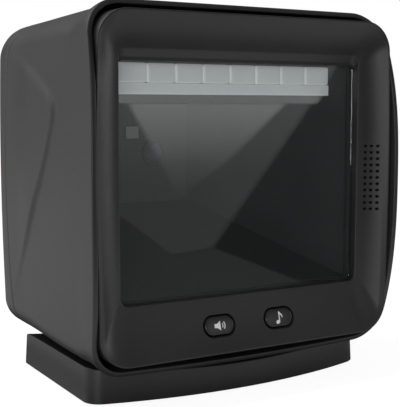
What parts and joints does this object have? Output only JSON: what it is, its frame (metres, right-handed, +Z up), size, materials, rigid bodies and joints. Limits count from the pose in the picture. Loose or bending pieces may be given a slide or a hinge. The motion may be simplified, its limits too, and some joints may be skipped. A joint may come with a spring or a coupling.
{
  "type": "presentation barcode scanner",
  "caption": "Box-shaped hands-free barcode scanner with an upright window in a dished bezel, push buttons below it and a speaker grille beside it, tilting on a low weighted base.",
  "frame": {"origin": "on the desk, under the middle of the object", "axes": "+Z up, the window faces -Y, +X to the right of someone looking at the window"},
  "size_m": [0.1328, 0.1006, 0.1426],
  "materials": {
    "shell_plastic": "fine texture, satin",
    "bezel_plastic": "satin",
    "window_glass": "polished, tinted",
    "dark_plastic": "matt",
    "button_plastic": "soft gloss",
    "icon_white": "printed",
    "white_plastic": "translucent white",
    "circuit_board": "solder mask",
    "steel": "plated",
    "rubber": "matt",
    "foam": "open foam",
    "lens_glass": "coated",
    "flex_film": "film"
  },
  "bodies": {
    "base": {"base_shell": "shell_plastic", "base_plate": "steel", "ballast_weight": "steel", "stop_pads": "rubber", "rubber_feet": "rubber", "hinge_brackets": "steel", "hinge_pin": "steel", "friction_washers": "steel", "pin_clips": "steel", "hinge_screws": "steel", "base_screws": "steel"},
    "head": {"front_bezel": "bezel_plastic", "main_housing": "shell_plastic", "rear_cover": "shell_plastic", "window_glass": "window_glass", "window_gasket": "foam", "optical_chamber": "dark_plastic", "light_diffuser": "white_plastic", "led_board": "circuit_board", "illumination_leds": "white_plastic", "status_light": "white_plastic", "camera_holder": "dark_plastic", "lens_barrel": "dark_plastic", "lens_glass": "lens_glass", "image_sensor": "dark_plastic", "sensor_board": "circuit_board", "main_board": "circuit_board", "processor_shield": "steel", "board_connectors": "white_plastic", "ribbon_cable": "flex_film", "cable_socket": "dark_plastic", "speaker_basket": "dark_plastic", "speaker_cone": "dark_plastic", "speaker_magnet": "steel", "speaker_gasket": "foam", "button_board": "circuit_board", "volume_switch": "steel", "tone_switch": "steel", "board_screws": "steel", "chamber_screws": "steel", "bezel_screws": "steel", "housing_screws": "steel", "hinge_arm": "steel", "hinge_bushes": "white_plastic", "arm_screws": "steel"},
    "volume_button": {"volume_button": "button_plastic", "volume_icon": "icon_white"},
    "tone_button": {"tone_button": "button_plastic", "tone_icon": "icon_white"}
  },
  "joints": [
    {"name": "head_tilt", "type": "hinge", "parent": "base", "child": "head", "pos_m": [0, 0.0255, 0.0076], "axis": [-1, 0, 0], "range_deg": [0, 10]},
    {"name": "volume_press", "type": "slide", "parent": "head", "child": "volume_button", "axis": [0, 1, 0], "range_m": [0, 0.0009], "stiffness_N_per_m": 400, "springref_m": -0.001},
    {"name": "tone_press", "type": "slide", "parent": "head", "child": "tone_button", "axis": [0, 1, 0], "range_m": [0, 0.0009], "stiffness_N_per_m": 400, "springref_m": -0.001}
  ]
}
